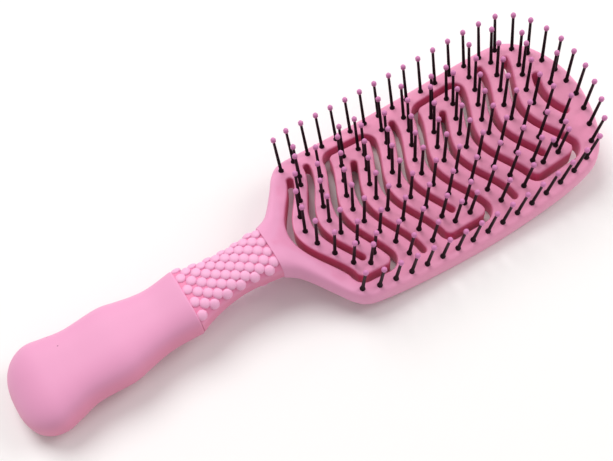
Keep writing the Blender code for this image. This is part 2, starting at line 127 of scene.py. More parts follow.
# Handle: a waisted sleeve of soft-touch plastic with a round closed end and a thin round lip,
# pushed over the frame's core bar. It is pale pink with a few specks, with painted shade in a
# darker rose on its sides.
# What all the pink pieces share is defined here too.
HANDLE_END = -0.1219
NECK_START = -0.05025
HEAD_START = -0.01575
HANDLE_HALF_WIDTH = 0.0177
HANDLE_HALF_HEIGHT = 0.0107
HANDLE_ROUND = 0.0163
END_POWER = 2.5
END_GAP = 0.00005
SEAM = 0.0003
LIP = 0.0009
LIP_STEPS = 6
HANDLE_STATIONS = 110
STATION_SLOPE = 0.65

# The middle line lies AXIS_LOW over the floor, climbs AXIS_RISE towards the head and dips
# at the handle's end, where the skin is cut flat on the floor
AXIS_LOW = 0.0103
AXIS_RISE = 0.0055
END_DIP = 0.0045
DIP_LENGTH = 0.0270
FLOOR_BITE = 0.0004

# Sections of handle and neck are rounded rectangles: the higher the power, the squarer
ROUND_POWER = 2.8
RING_COUNT = 96
LINE_STEPS = 10
SKIN_SHARP = 50

# Colours of the pink pieces. SIDE_SHADE_ROSE is painted shade: a skin turns to it where its
# normal rises less than SIDE_SHADE_FROM, on the sides that turn from the light.
# PAINTED_SHADE_ROSE is painted
# shade too: the deep rose of the slots' walls, the face among the pins and the neck's pits.
HANDLE_PINK = (0.79, 0.33, 0.54)
HEAD_PINK = (0.88, 0.335, 0.525)
PAINTED_SHADE_ROSE = (0.72, 0.11, 0.27)
SIDE_SHADE_ROSE = (0.74, 0.215, 0.37)
SIDE_SHADE_FROM = 0.82
SIDE_SHADE_SPAN = 1.00
SPECK = (0.38, 0.13, 0.22)

# Soft-touch plastic: how far past the neck the head's pink starts and is full, then its
# finish, its clouds, its specks and its grain
TINT_START = 0.006
TINT_FULL = 0.050
SOFT_ROUGHNESS = 0.55
SOFT_SHEEN = 0.16
SOFT_SPECULAR = 0.45
CLOUD_SCALE = 90.0
CLOUD_DETAIL = 3.0
CLOUD_SHADE = 0.72
HANDLE_CLOUDS = 0.10
SPECK_CELLS = 120.0
SPECK_SIZE = 0.030
GRAIN_SCALE = 2600.0
GRAIN_STRENGTH = 0.12
GRAIN_HEIGHT = 0.0001

# Share of the handle's length, then shares of its half width and half height
HANDLE_SHARES = (
    (0.000, 1.00, 1.00), (0.170, 1.00, 1.00), (0.272, 0.91, 0.97), (0.385, 0.82, 0.92),
    (0.573, 0.85, 0.94), (0.667, 0.78, 0.89), (0.760, 0.70, 0.84), (0.854, 0.67, 0.82),
    (1.000, 0.72, 0.86),
)
# Share of the way from the handle's end to the head, then share of the middle line's rise
AXIS_SHARES = (
    (0.00, 0.00), (0.17, 0.00), (0.26, 0.13), (0.38, 0.25), (0.51, 0.31), (0.58, 0.38),
    (0.67, 0.60), (0.77, 0.82), (0.86, 0.96), (1.00, 0.95),
)


def smooth_line(points, steps):
    # A curve through the points, with a few places between each two of them
    line = []
    for i in range(len(points) - 1):
        before = points[max(i - 1, 0)]
        after = points[min(i + 2, len(points) - 1)]
        for step in range(steps):
            t = step / steps
            place = []
            for a, b, c, d in zip(before, points[i], points[i + 1], after):
                slope_b = (c - a) / 2
                slope_c = (d - b) / 2
                cubic = 2 * b - 2 * c + slope_b + slope_c
                square = -3 * b + 3 * c - 2 * slope_b - slope_c
                place.append(((cubic * t + square) * t + slope_b) * t + b)
            line.append(tuple(place))
    line.append(tuple(points[-1]))
    return line


def read_line(line, x, column):
    # The value in a column at x, along a line whose first column climbs
    if x <= line[0][0]:
        return line[0][column]
    for low, high in zip(line, line[1:]):
        if x <= high[0]:
            share = (x - low[0]) / (high[0] - low[0])
            return low[column] + share * (high[column] - low[column])
    return line[-1][column]


def ease(share):
    # 0 before the stretch and 1 after it, with a soft start and end
    share = min(max(share, 0.0), 1.0)
    return share * share * (3.0 - 2.0 * share)


AXIS_LINE = smooth_line(AXIS_SHARES, LINE_STEPS)
HANDLE_LINE = smooth_line(HANDLE_SHARES, LINE_STEPS)


def axis_height(x):
    # The axis climbs from the handle to the head, and dips to the floor at the round end
    share = (x - HANDLE_END) / (HEAD_START - HANDLE_END)
    dip = END_DIP * max(1.0 - (x - HANDLE_END) / DIP_LENGTH, 0.0) ** 2
    return AXIS_LOW + AXIS_RISE * read_line(AXIS_LINE, share, 1) - dip


def oval(x, half_width, half_height):
    # A rounded section across the brush, cut flat where it reaches the floor
    ring = []
    half_depth = min(half_height, axis_height(x) + FLOOR_BITE)
    for i in range(RING_COUNT):
        angle = 2 * math.pi * (i + 0.5) / RING_COUNT
        across = math.copysign(abs(math.cos(angle)) ** (2 / ROUND_POWER), math.cos(angle))
        upward = math.copysign(abs(math.sin(angle)) ** (2 / ROUND_POWER), math.sin(angle))
        reach = half_height if upward > 0.0 else half_depth
        height = axis_height(x) + reach * upward
        ring.append(Vector((x, half_width * across, max(height, 0.0))))
    return ring


def loft(name, rings):
    # A closed skin over rings of equal length, with its "side" attribute: how much painted shade
    # darkens it where its sides turn from the light
    shape = bmesh.new()
    rows = [[shape.verts.new(point) for point in ring] for ring in rings]
    for row, following in zip(rows, rows[1:]):
        for i in range(len(row)):
            j = (i + 1) % len(row)
            shape.faces.new((row[i], row[j], following[j], following[i]))
    shape.faces.new(rows[0])
    shape.faces.new(rows[-1])
    mesh = finish_mesh(name, shape, SKIN_SHARP)
    side = mesh.attributes.new("side", "FLOAT", "POINT")
    for item, vertex in zip(side.data, mesh.vertices):
        item.value = ease((SIDE_SHADE_FROM - vertex.normal.z) / SIDE_SHADE_SPAN)
    return mesh


def finish_mesh(name, shape, sharp_angle):
    # The shape as a mesh, smooth except where its faces meet at more than the sharp angle
    bmesh.ops.recalc_face_normals(shape, faces=shape.faces)
    mesh = bpy.data.meshes.new(name)
    shape.to_mesh(mesh)
    shape.free()
    mesh.shade_smooth()
    mesh.set_sharp_from_angle(angle=math.radians(sharp_angle))
    return mesh


def add_piece(name, mesh, surfaces, slot, *nodes):
    piece = bpy.data.objects.new(name, mesh)
    for surface in surfaces:
        mesh.materials.append(surface)
    bpy.context.scene.collection.objects.link(piece)
    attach(piece, "root")
    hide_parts(*nodes)
    return piece


def soft_touch(name, colour, darkness, specks, has_painted_shade):
    # Matte soft-touch plastic: the colour turns into the head's along X, with faint clouds in
    # it and a very fine grain. It is darkened to a rose as painted shade where the mesh's own
    # "side" attribute is 1. It can have a few specks, and it can be darkened to deep rose as
    # painted shade where "hollow" is 1.
    surface = bpy.data.materials.new(name)
    surface.use_nodes = True
    nodes = surface.node_tree.nodes
    links = surface.node_tree.links
    shader = nodes["Principled BSDF"]
    shader.inputs["Roughness"].default_value = SOFT_ROUGHNESS
    shader.inputs["Sheen Weight"].default_value = SOFT_SHEEN
    shader.inputs["Specular IOR Level"].default_value = SOFT_SPECULAR
    place = nodes.new("ShaderNodeTexCoord")

    split = nodes.new("ShaderNodeSeparateXYZ")
    links.new(place.outputs["Object"], split.inputs["Vector"])
    along = nodes.new("ShaderNodeMapRange")
    along.interpolation_type = "SMOOTHSTEP"
    along.inputs["From Min"].default_value = HEAD_START + TINT_START
    along.inputs["From Max"].default_value = HEAD_START + TINT_FULL
    links.new(split.outputs["X"], along.inputs["Value"])
    tint = nodes.new("ShaderNodeMix")
    tint.data_type = "RGBA"
    tint.inputs["A"].default_value = (*colour, 1.0)
    tint.inputs["B"].default_value = (*HEAD_PINK, 1.0)
    links.new(along.outputs["Result"], tint.inputs["Factor"])
    # Painted shade: rose on the sides that turn from the light
    side = nodes.new("ShaderNodeAttribute")
    side.attribute_name = "side"
    side_shade = nodes.new("ShaderNodeMix")
    side_shade.data_type = "RGBA"
    side_shade.inputs["B"].default_value = (*SIDE_SHADE_ROSE, 1.0)
    links.new(side.outputs["Fac"], side_shade.inputs["Factor"])
    links.new(tint.outputs["Result"], side_shade.inputs["A"])

    clouds = nodes.new("ShaderNodeTexNoise")
    clouds.inputs["Scale"].default_value = CLOUD_SCALE
    clouds.inputs["Detail"].default_value = CLOUD_DETAIL
    links.new(place.outputs["Object"], clouds.inputs["Vector"])
    amount = nodes.new("ShaderNodeMapRange")
    amount.inputs["To Max"].default_value = darkness
    links.new(clouds.outputs["Fac"], amount.inputs["Value"])
    shade = nodes.new("ShaderNodeMix")
    shade.data_type = "RGBA"
    dark_pink = [CLOUD_SHADE * value for value in HEAD_PINK]
    shade.inputs["B"].default_value = (*dark_pink, 1.0)
    links.new(amount.outputs["Result"], shade.inputs["Factor"])
    links.new(side_shade.outputs["Result"], shade.inputs["A"])
    result = shade

    # Painted shade: deep rose wherever the "hollow" attribute says so
    if has_painted_shade:
        depth = nodes.new("ShaderNodeAttribute")
        depth.attribute_name = "painted_shade"
        deep = nodes.new("ShaderNodeMix")
        deep.data_type = "RGBA"
        deep.inputs["B"].default_value = (*PAINTED_SHADE_ROSE, 1.0)
        links.new(depth.outputs["Fac"], deep.inputs["Factor"])
        links.new(shade.outputs["Result"], deep.inputs["A"])
        result = deep
    if specks:
        cells = nodes.new("ShaderNodeTexVoronoi")
        cells.inputs["Scale"].default_value = SPECK_CELLS
        links.new(place.outputs["Object"], cells.inputs["Vector"])
        dot = nodes.new("ShaderNodeMath")
        dot.operation = "LESS_THAN"
        dot.inputs[1].default_value = SPECK_SIZE
        links.new(cells.outputs["Distance"], dot.inputs[0])
        mark = nodes.new("ShaderNodeMix")
        mark.data_type = "RGBA"
        mark.inputs["B"].default_value = (*SPECK, 1.0)
        links.new(dot.outputs["Value"], mark.inputs["Factor"])
        links.new(shade.outputs["Result"], mark.inputs["A"])
        result = mark
    links.new(result.outputs["Result"], shader.inputs["Base Color"])

    grain = nodes.new("ShaderNodeTexNoise")
    grain.inputs["Scale"].default_value = GRAIN_SCALE
    links.new(place.outputs["Object"], grain.inputs["Vector"])
    bump = nodes.new("ShaderNodeBump")
    bump.inputs["Strength"].default_value = GRAIN_STRENGTH
    bump.inputs["Distance"].default_value = GRAIN_HEIGHT
    links.new(grain.outputs["Fac"], bump.inputs["Height"])
    links.new(bump.outputs["Normal"], shader.inputs["Normal"])
    return surface


def handle_ring(x, inset):
    # One section of the handle, drawn in by the inset
    length = NECK_START - HANDLE_END
    near_end = max(1.0 - (x - HANDLE_END) / HANDLE_ROUND, 0.0)
    roll = (1.0 - near_end ** END_POWER) ** (1.0 / END_POWER)
    share = (x - HANDLE_END) / length
    wide = HANDLE_HALF_WIDTH * read_line(HANDLE_LINE, share, 1) * roll
    high = HANDLE_HALF_HEIGHT * read_line(HANDLE_LINE, share, 2) * roll
    return oval(x, wide - inset, high - inset)


def make_handle():
    # The rings lie closer together at the round end
    start = HANDLE_END + END_GAP
    lip_start = NECK_START - SEAM - LIP
    rings = []
    for station in range(HANDLE_STATIONS):
        share = station / HANDLE_STATIONS
        share *= 1.0 - STATION_SLOPE + STATION_SLOPE * share
        rings.append(handle_ring(start + (lip_start - start) * share, 0.0))
    for step in range(LIP_STEPS + 1):
        angle = math.pi / 2 * step / LIP_STEPS
        inset = LIP * (1.0 - math.cos(angle))
        rings.append(handle_ring(lip_start + LIP * math.sin(angle), inset))
    surface = soft_touch("handle_soft_touch", HANDLE_PINK, HANDLE_CLOUDS, True, False)
    skin = loft("handle_skin", rings)
    add_piece("handle_skin", skin, [surface], "soft_pink", "handle_grip")


make_handle()


# Neck: a sleeve of the same soft-touch plastic round the frame's neck bar, held between the
# handle's lip and the head. Staggered columns of low domes are moulded on its top and bottom,
# with painted shade in rose on the skin between them, and a smooth band is left along both
# sides, with less of that painted shade. Its pink is painted paler than the handle's, as light
# on the domes.
NECK_HALF_WIDTH = 0.0113
NECK_HALF_HEIGHT = 0.0079
DOME_HEIGHT = 0.0010
DOME_RADIUS = 0.00208
DOME_COLUMNS = 12
DOMES_AROUND = 12
DOME_SEGMENTS = 10
DOME_RINGS = 6
DOME_SHARP = 80
NECK_SHARP = 60
NECK_STATIONS = 36
NECK_CLOUDS = 0.08
# NECK_LIT_PINK is painted light: paler than the handle's pink, as if the domes' tops were lit
NECK_LIT_PINK = (0.88, 0.43, 0.65)

# A dome is set where the skin's normal rises more than DOME_REGION, or falls more than
# LOW_DOME_REGION. The skin there is darkened towards rose by painted shade as far as
# PIT_SHADE_DEPTH, and as far as BAND_SHADE_DEPTH on the bands.
DOME_REGION = 0.45
LOW_DOME_REGION = 0.90
PIT_SHADE_START = 0.5
PIT_SHADE_DEPTH = 0.62
BAND_SHADE_DEPTH = 0.20

# Share of the neck's length, then shares of its half width and half height
NECK_SHARES = (
    (0.000, 1.10, 1.13), (0.110, 0.97, 1.03), (0.300, 0.84, 0.92), (0.500, 0.775, 0.87),
    (0.680, 0.78, 0.85), (0.820, 0.84, 0.85), (1.000, 0.91, 0.85),
)
NECK_LINE = smooth_line(NECK_SHARES, LINE_STEPS)


def neck_ring(x):
    # The skin lies a dome's height under the neck's top and bottom, and at its full width
    share = (x - NECK_START) / (HEAD_START - NECK_START)
    wide = NECK_HALF_WIDTH * read_line(NECK_LINE, share, 1)
    high = NECK_HALF_HEIGHT * read_line(NECK_LINE, share, 2) - DOME_HEIGHT
    return oval(x, wide, high)


def point_round(ring, share):
    # The place on a closed ring at a share of its length, and the way along it there
    lengths = [(ring[i] - ring[i - 1]).length for i in range(len(ring))]
    goal = (share % 1.0) * sum(lengths)
    for i, length in enumerate(lengths):
        if goal <= length:
            spot = ring[i - 1].lerp(ring[i], goal / length)
            return spot, (ring[i] - ring[i - 1]).normalized()
        goal -= length
    return ring[0], (ring[0] - ring[-1]).normalized()


def copies_group():
    # Geometry nodes that set a copy of a shape on each point, turned to its outward vector.
    # Faces whose "tip" attribute is true get the second material.
    group = bpy.data.node_groups.new("copies_on_points", "GeometryNodeTree")
    group.interface.new_socket("Points", in_out="INPUT", socket_type="NodeSocketGeometry")
    group.interface.new_socket("Shape", in_out="INPUT", socket_type="NodeSocketObject")
    group.interface.new_socket("Size", in_out="INPUT", socket_type="NodeSocketVector")
    group.interface.new_socket("Body", in_out="INPUT", socket_type="NodeSocketMaterial")
    group.interface.new_socket("Tip", in_out="INPUT", socket_type="NodeSocketMaterial")
    group.interface.new_socket("Copies", in_out="OUTPUT", socket_type="NodeSocketGeometry")
    nodes = group.nodes
    start = nodes.new("NodeGroupInput")
    end = nodes.new("NodeGroupOutput")
    outward = nodes.new("GeometryNodeInputNamedAttribute")
    outward.data_type = "FLOAT_VECTOR"
    outward.inputs["Name"].default_value = "outward"
    turn = nodes.new("FunctionNodeAlignRotationToVector")
    turn.axis = "Z"
    shape = nodes.new("GeometryNodeObjectInfo")
    copy = nodes.new("GeometryNodeInstanceOnPoints")
    real = nodes.new("GeometryNodeRealizeInstances")
    body = nodes.new("GeometryNodeSetMaterial")
    tip = nodes.new("GeometryNodeSetMaterial")
    tip_faces = nodes.new("GeometryNodeInputNamedAttribute")
    tip_faces.data_type = "BOOLEAN"
    tip_faces.inputs["Name"].default_value = "tip"
    group.links.new(start.outputs["Points"], copy.inputs["Points"])
    group.links.new(start.outputs["Shape"], shape.inputs["Object"])
    group.links.new(shape.outputs["Geometry"], copy.inputs["Instance"])
    group.links.new(start.outputs["Size"], copy.inputs["Scale"])
    group.links.new(outward.outputs["Attribute"], turn.inputs["Vector"])
    group.links.new(turn.outputs["Rotation"], copy.inputs["Rotation"])
    group.links.new(copy.outputs["Instances"], real.inputs["Geometry"])
    group.links.new(real.outputs["Geometry"], body.inputs["Geometry"])
    group.links.new(start.outputs["Body"], body.inputs["Material"])
    group.links.new(body.outputs["Geometry"], tip.inputs["Geometry"])
    group.links.new(tip_faces.outputs["Attribute"], tip.inputs["Selection"])
    group.links.new(start.outputs["Tip"], tip.inputs["Material"])
    group.links.new(tip.outputs["Geometry"], end.inputs["Copies"])
    return group


COPIES = copies_group()


def copies_mesh(name, places, shape, size, body, tip):
    # places holds pairs of a point and its outward vector
    mesh = bpy.data.meshes.new(name)
    mesh.from_pydata([point for point, _ in places], [], [])
    outward = mesh.attributes.new("outward", "FLOAT_VECTOR", "POINT")
    for item, (_, direction) in zip(outward.data, places):
        item.vector = direction
    holder = bpy.data.objects.new(name, mesh)
    bpy.context.scene.collection.objects.link(holder)
    modifier = holder.modifiers.new("copies", "NODES")
    modifier.node_group = COPIES
    for socket, value in (("Shape", shape), ("Size", size), ("Body", body), ("Tip", tip)):
        modifier[COPIES.interface.items_tree[socket].identifier] = value
    bpy.context.view_layer.update()
    ready = holder.evaluated_get(bpy.context.evaluated_depsgraph_get())
    copies = bpy.data.meshes.new_from_object(ready)
    bpy.data.objects.remove(holder, do_unlink=True)
    copies.name = name
    return copies


def dome_shape():
    # A ball of radius 1: the nodes flatten it to the dome's size
    shape = bmesh.new()
    bmesh.ops.create_uvsphere(
        shape, u_segments=DOME_SEGMENTS, v_segments=DOME_RINGS, radius=1.0)
    dome = bpy.data.objects.new("dome", finish_mesh("dome", shape, DOME_SHARP))
    bpy.context.scene.collection.objects.link(dome)
    return dome


def make_neck():
    start = NECK_START - SEAM
    end = HEAD_START
    rings = []
    for station in range(NECK_STATIONS + 1):
        rings.append(neck_ring(start + (end - start) * station / NECK_STATIONS))
    skin = loft("neck_skin", rings)
    # Painted shade: the skin goes rose between the domes, and less so on the side bands
    painted_shade = skin.attributes.new("painted_shade", "FLOAT", "POINT")
    for item, vertex in zip(painted_shade.data, skin.vertices):
        share = ease(abs(vertex.normal.z) / DOME_REGION - PIT_SHADE_START)
        item.value = BAND_SHADE_DEPTH + (PIT_SHADE_DEPTH - BAND_SHADE_DEPTH) * share
    pitch = (end - start) / DOME_COLUMNS
    places = []
    for column in range(DOME_COLUMNS):
        x = start + pitch * (column + 0.5)
        ring = neck_ring(x)
        for i in range(DOMES_AROUND):
            spot, way = point_round(ring, (i + 0.5 * (column % 2)) / DOMES_AROUND)
            outward = way.cross(Vector((1.0, 0.0, 0.0))).normalized()
            middle = Vector((x, 0.0, axis_height(x)))
            if outward.dot(spot - middle) < 0.0:
                outward = -outward
            if outward.z > DOME_REGION or outward.z < -LOW_DOME_REGION:
                places.append((spot, outward))
    surface = soft_touch("neck_soft_touch", NECK_LIT_PINK, NECK_CLOUDS, False, True)
    dome = dome_shape()
    size = (DOME_RADIUS, DOME_RADIUS, DOME_HEIGHT)
    domes = copies_mesh("neck_domes", places, dome, size, surface, surface)
    bpy.data.objects.remove(dome, do_unlink=True)
    shape = bmesh.new()
    shape.from_mesh(skin)
    shape.from_mesh(domes)
    mesh = finish_mesh("neck_skin", shape, NECK_SHARP)
    add_piece("neck_skin", mesh, [surface], "soft_pink", "neck_grip")


make_neck()


# Head: a soft-touch face closed on a rigid back, two mouldings in one pink with a rolled rim
# and a hairline parting between them. One winding slot and six short slots run through both,
# with soft edges. Painted shade darkens the face among the pins, and deepens to rose down the
# slots' walls.
HEAD_TIP = 0.12125
HEAD_HALF_WIDTH = 0.0363
HEAD_CLOUDS = 0.18

# The head follows a long arc, lowest at ARC_LOW_FROM_TIP before its tip. The face is FACE_LOW
# over the floor there and FRONT_HEIGHT over the parting, and falls away across the head.
ARC_RADIUS = 0.228
ARC_LOW_FROM_TIP = 0.0690
FAN_RADIUS = 0.204
FACE_LOW = 0.0100
FRONT_HEIGHT = 0.0070
BACK_HEIGHT = 0.0034
HAIRLINE = 0.00002

# Throat: the stretch next to the neck, where the head lifts and its back gets thicker
THROAT_LENGTH = 0.0155
THROAT_LIFT = 0.0025
THROAT_RISE = -0.0002
THROAT_DROP = 0.0040
THROAT_LIP = 0.0001
THROAT_EDGE = 0.0005
THROAT_EASE = 0.0140

# The rolled rim, and the net of points between it and the slots
RIM_ROLL = 0.0022
ROLL_STEPS = 10
OUTLINE_STEPS = 8
FILL_PITCH = 0.0025
FILL_CLEAR = 0.0011
FILL_COLUMNS = 14
WELD = 1e-7

# Slots are counted from the neck: even ones are parts of the winding slot, odd ones are short
SLOT_COUNT = 12
SLOT_WIDTH = 0.0026
SLOT_TIP_DISTANCE = 0.0130
SLOT_NECK_DISTANCE = 0.01015
SLOT_BOW = 0.0087
FIRST_BOW_EXTRA = 0.0020
SLOT_CORNER = 0.0040
SLOT_REACH = 0.0278
SLOT_STEPS = 36
CORNER_STEPS = 8

# How much less than SLOT_REACH a slot or a run beside the rim reaches out
FIRST_RUN_INSET = 0.0013
LAST_RUN_INSET = 0.0018
CLOSED_INSET = 0.0094
OPEN_INSET = 0.0013
FREE_END_INSET = 0.0042
LAST_SLOT_INSET = 0.0182

# Rounding of the slots' edges, and the painted shade of the pins over the face, which
# deepens to rose down the slots' walls
SLOT_EDGE = 0.0009
SLOT_EDGE_STEPS = 4
FACE_SHADE_DEPTH = 0.21

HEAD_LENGTH = HEAD_TIP - HEAD_START
SLOT_PITCH = (HEAD_LENGTH - SLOT_TIP_DISTANCE - SLOT_NECK_DISTANCE) / (SLOT_COUNT - 1)
THROAT_HALF_WIDTH = NECK_HALF_WIDTH * NECK_SHARES[-1][1] + THROAT_LIP

# Half the head's plan: share of its length, share of its half width
OUTLINE_SHARES = (
    (0.039, 0.378), (0.088, 0.618), (0.125, 0.820), (0.162, 0.922), (0.230, 0.957),
    (0.358, 0.983), (0.554, 1.000), (0.750, 0.982), (0.863, 0.937), (0.921, 0.855),
    (0.961, 0.664), (0.985, 0.424), (0.998, 0.180),
)


def throat(x):
    # 1 where the head meets the neck, easing to 0 where the flat head begins
    return 1.0 - ease((x - HEAD_START) / THROAT_LENGTH)


def parting_height(x):
    # The head curves up at both ends, and lifts into the neck
    arc = (x - HEAD_TIP + ARC_LOW_FROM_TIP) ** 2 / (2 * ARC_RADIUS)
    return FACE_LOW + arc - FRONT_HEIGHT + THROAT_LIFT * throat(x)


def face_rise(x, y):
    # The face is crowned across the head
    return FRONT_HEIGHT + THROAT_RISE * throat(x) - y * y / (2 * FAN_RADIUS)


def back_drop(x, y):
    # The back is as deep all the way across
    return BACK_HEIGHT + THROAT_DROP * throat(x)


def slot_x(slot, y):
    # A slot bows towards the handle at the middle and runs straight at its ends
    first = HEAD_TIP - SLOT_TIP_DISTANCE - (SLOT_COUNT - 1) * SLOT_PITCH
    bow = SLOT_BOW + FIRST_BOW_EXTRA * max(2 - slot, 0)
    reach = min(abs(y) / SLOT_REACH, 1.0)
    return first + slot * SLOT_PITCH + bow / 2 * (1.0 - math.cos(math.pi * reach))


def slot_line(slot, start, end):
    line = []
    for step in range(SLOT_STEPS + 1):
        y = start + (end - start) * step / SLOT_STEPS
        line.append((slot_x(slot, y), y))
    return line


def corner(x, y, turn, side):
    # A quarter round from a slot's end into the run beside the rim, or back
    points = []
    for step in range(1, CORNER_STEPS + 1):
        angle = math.pi / 2 * step / CORNER_STEPS
        across = SLOT_CORNER * (1.0 - math.cos(angle))
        along = SLOT_CORNER * math.sin(angle)
        points.append((x + turn * across, y + side * along))
    return points


def winding_line():
    # Even slots joined end to end by runs beside the rim, by turns near and far
    last = SLOT_COUNT - 2
    middle = [SLOT_REACH] * (last // 2 - 2)
    reaches = [SLOT_REACH - FIRST_RUN_INSET] + middle + [SLOT_REACH - LAST_RUN_INSET]
    side = -1
    line = []
    for slot in range(0, last + 1, 2):
        start = -side * (SLOT_REACH - FREE_END_INSET)
        if slot > 0:
            start = -side * (reaches[slot // 2 - 1] - SLOT_CORNER)
            line += reversed(corner(slot_x(slot, start), start, -1, -side))
        end = side * (SLOT_REACH - FREE_END_INSET)
        if slot < last:
            end = side * (reaches[slot // 2] - SLOT_CORNER)
        line += slot_line(slot, start, end)
        if slot < last:
            line += corner(slot_x(slot, end), end, 1, side)
        side = -side
    return line


def slot_lines():
    lines = [winding_line()]
    for slot in range(1, SLOT_COUNT - 2, 2):
        closed_side = -1 if slot % 4 == 1 else 1
        start = closed_side * (SLOT_REACH - CLOSED_INSET)
        end = -closed_side * (SLOT_REACH - OPEN_INSET)
        lines.append(slot_line(slot, start, end))
    reach = SLOT_REACH - LAST_SLOT_INSET
    lines.append(slot_line(SLOT_COUNT - 1, -reach, reach))
    return lines


def normal_at(line, i):
    before = Vector(line[max(i - 1, 0)])
    after = Vector(line[min(i + 1, len(line) - 1)])
    along = (after - before).normalized()
    return Vector((-along.y, along.x))


def band_outline(line, width):
    # The outline of a band along a line, with a half round at each end
    half = width / 2
    left = [Vector(point) + normal_at(line, i) * half for i, point in enumerate(line)]
    right = [Vector(point) - normal_at(line, i) * half for i, point in enumerate(line)]
    caps = []
    for i, way in ((len(line) - 1, 1), (0, -1)):
        side = normal_at(line, i) * half * way
        forward = Vector((side.y, -side.x))
        cap = []
        for step in range(1, CORNER_STEPS):
            angle = math.pi * step / CORNER_STEPS
            cap.append(Vector(line[i]) + side * math.cos(angle) + forward * math.sin(angle))
        caps.append(cap)
    return left + caps[0] + list(reversed(right)) + caps[1]


def rim_rings():
    # Rings from the head's outline inwards, open at the neck, each with its share of height
    near = [(0.0, -THROAT_HALF_WIDTH / HEAD_HALF_WIDTH)] + [(x, -y) for x, y in OUTLINE_SHARES]
    shares = near + [(1.0, 0.0)] + [(x, -y) for x, y in reversed(near)]
    line = [Vector((HEAD_START + along * HEAD_LENGTH, wide * HEAD_HALF_WIDTH))
            for along, wide in smooth_line(shares, OUTLINE_STEPS)]
    inward = []
    for i, point in enumerate(line):
        into = ease((point.x - HEAD_START) / THROAT_EASE)
        level = Vector((0.0, -math.copysign(1.0, point.y)))
        way = (level.lerp(normal_at(line, i), into)).normalized()
        full = THROAT_HALF_WIDTH - THROAT_EDGE
        inward.append(way * (full + (RIM_ROLL - full) * into))
    rings = []
    for step in range(ROLL_STEPS + 1):
        angle = math.pi / 2 * step / ROLL_STEPS
        inset = 1.0 - math.cos(angle) ** (2 / ROUND_POWER)
        height = math.sin(angle) ** (2 / ROUND_POWER)
        rings.append(([point + way * inset for point, way in zip(line, inward)], height))
    return rings


def loop_area(loop):
    # Positive where the loop runs anticlockwise, seen from above
    return sum(a.x * b.y - b.x * a.y for a, b in zip(loop, loop[1:] + loop[:1])) / 2


def fill(loops, extra):
    # Triangles inside the first loop and outside the others, as indices in loops then extra
    points = []
    outlines = []
    for loop in loops:
        outline = list(range(len(points), len(points) + len(loop)))
        outlines.append(outline if loop_area(loop) > 0.0 else outline[::-1])
        points += loop
    found = delaunay_2d_cdt(points + extra, [], outlines, 0, WELD)
    triangles = []
    for triangle, owners in zip(found[2], found[5]):
        if set(owners) == {0}:
            triangles.append([found[3][i][0] for i in triangle])
    return triangles


def inner_points(loops):
    # A grid of points, none of them close to a loop
    border = []
    for loop in loops:
        for here, there in zip(loop, loop[1:] + loop[:1]):
            pieces = int((there - here).length / FILL_CLEAR) + 1
            border += [here.lerp(there, piece / pieces) for piece in range(pieces)]
    tree = kdtree.KDTree(len(border))
    for i, point in enumerate(border):
        tree.insert((point.x, point.y, 0.0), i)
    tree.balance()
    points = []
    for row in range(int(HEAD_LENGTH / FILL_PITCH)):
        for column in range(-FILL_COLUMNS, FILL_COLUMNS + 1):
            x = HEAD_START + FILL_PITCH * (row + 0.5 * (column % 2))
            y = FILL_PITCH * column
            if tree.find((x, y, 0.0))[2] > FILL_CLEAR:
                points.append(Vector((x, y)))
    return points


def make_plan():
    # All that the face and the back share, seen from above
    rings = rim_rings()
    lines = slot_lines()
    edges = []
    for step in range(SLOT_EDGE_STEPS + 1):
        angle = math.pi / 2 * step / SLOT_EDGE_STEPS
        spread = SLOT_EDGE * (1.0 - math.sin(angle))
        drop = SLOT_EDGE * (1.0 - math.cos(angle))
        edges.append(([band_outline(line, SLOT_WIDTH + 2 * spread) for line in lines], drop))
    outer_loops = [rings[-1][0]] + edges[0][0]
    extra = inner_points(outer_loops)
    skin = fill(outer_loops, extra)
    parting = fill([rings[0][0]] + edges[-1][0], [])
    return rings, edges, extra, skin, parting


